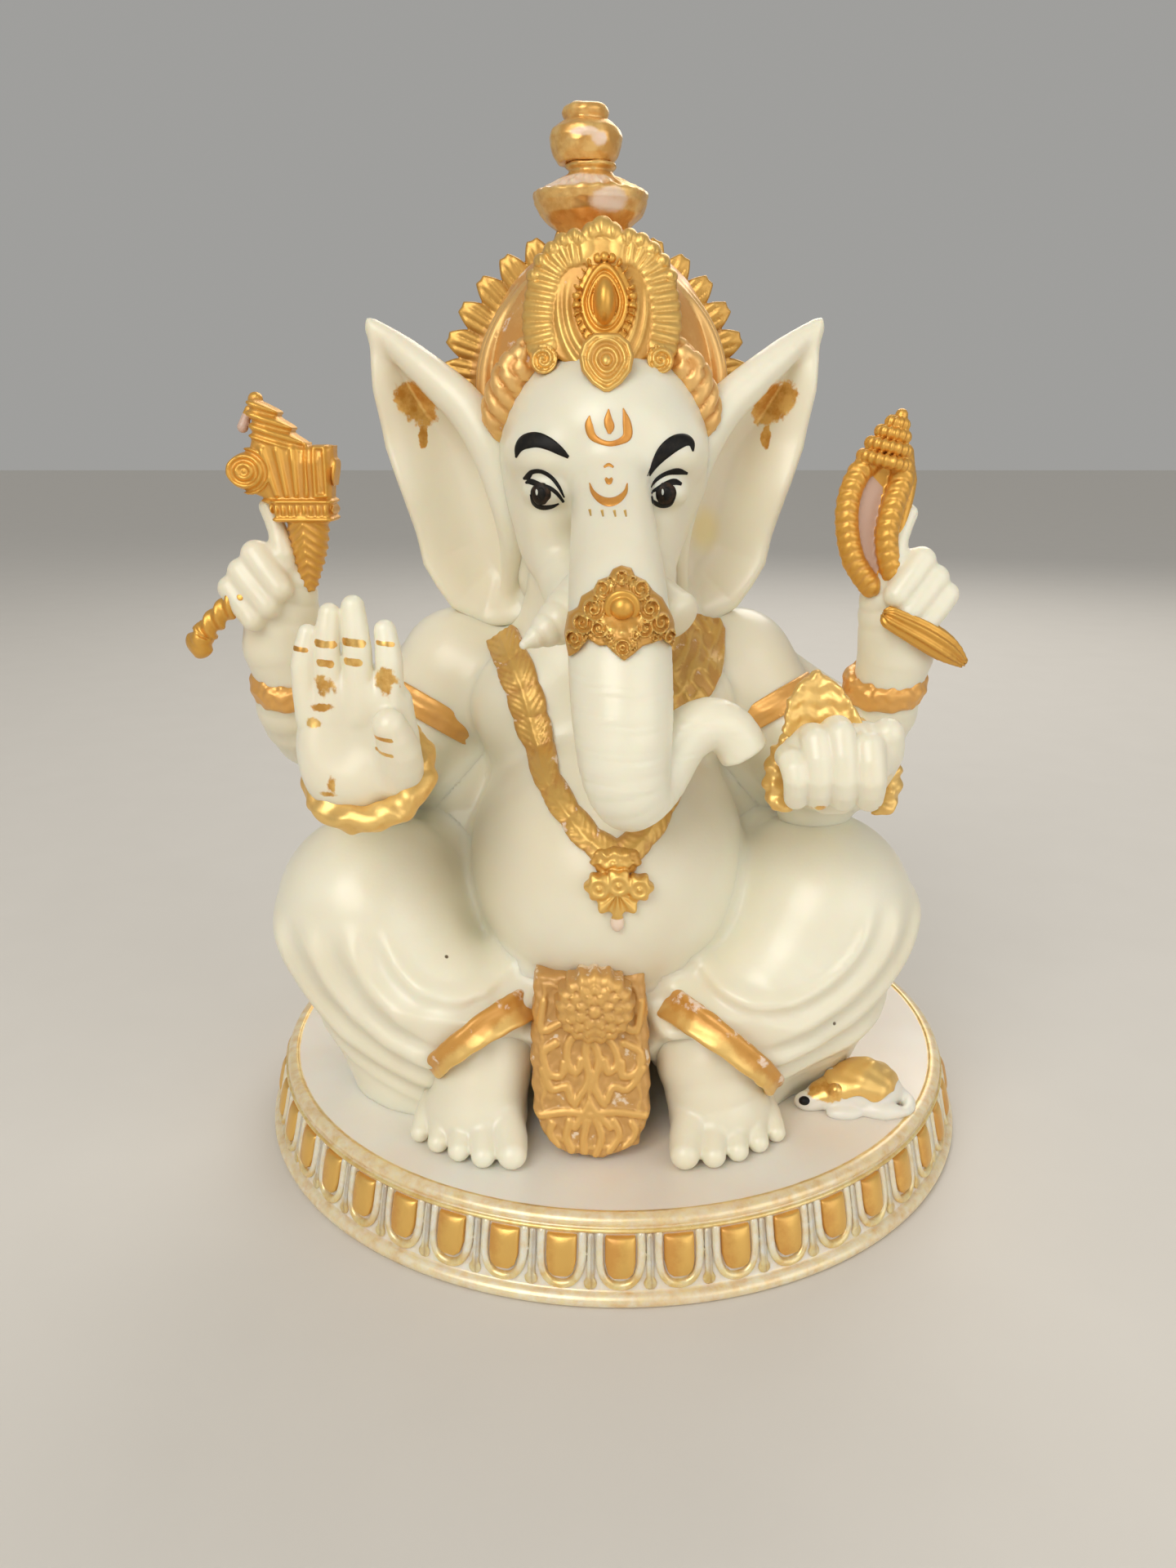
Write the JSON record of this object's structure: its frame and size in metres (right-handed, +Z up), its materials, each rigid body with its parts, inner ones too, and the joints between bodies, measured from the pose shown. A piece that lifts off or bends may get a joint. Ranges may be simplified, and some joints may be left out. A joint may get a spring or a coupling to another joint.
{
  "type": "ganesha idol",
  "caption": "Seated four-armed elephant-headed devotional figure on a round plinth with a petal border, cast in white resin with gold-painted ornament.",
  "frame": {"origin": "centre of the plinth's flat underside", "axes": "+Z up through the crown, the figure faces -Y, +X is the figure's left"},
  "size_m": [0.1167, 0.112, 0.15],
  "materials": {
    "white_resin": "satin",
    "gold_paint": "satin",
    "black_paint": "gloss"
  },
  "bodies": {
    "root": {"plinth_tongues": "gold_paint", "plinth_arches": "gold_paint", "right_ankle_cuff": "gold_paint", "left_ankle_cuff": "gold_paint", "apron": "gold_paint", "apron_flower": "gold_paint", "front_right_bangle": "gold_paint", "front_left_bangle": "gold_paint", "rear_right_bangle": "gold_paint", "rear_left_bangle": "gold_paint", "right_armlet": "gold_paint", "left_armlet": "gold_paint", "goad_head": "gold_paint", "goad_tail": "gold_paint", "noose": "gold_paint", "noose_tail": "gold_paint", "trunk_band": "gold_paint", "trunk_boss": "gold_paint", "crown_cap": "gold_paint", "crown_diadem": "gold_paint", "crown_gem": "gold_paint", "crown_medallion": "gold_paint", "crown_aureole": "gold_paint", "finial_bowl": "gold_paint", "finial_bulb": "gold_paint", "necklace": "gold_paint", "collar_patch": "gold_paint", "pendant": "gold_paint", "mouse_saddle": "gold_paint", "plinth": "white_resin", "torso": "white_resin", "right_leg": "white_resin", "left_leg": "white_resin", "right_foot": "white_resin", "left_foot": "white_resin", "front_right_arm": "white_resin", "front_left_arm": "white_resin", "rear_right_arm": "white_resin", "rear_left_arm": "white_resin", "front_right_hand": "white_resin", "front_left_hand": "white_resin", "rear_right_hand": "white_resin", "rear_left_hand": "white_resin", "head": "white_resin", "right_ear": "white_resin", "left_ear": "white_resin", "trunk": "white_resin", "right_tusk": "white_resin", "left_tusk_stub": "white_resin", "mouse": "white_resin", "right_eye": "black_paint", "left_eye": "black_paint"}
  },
  "joints": []
}
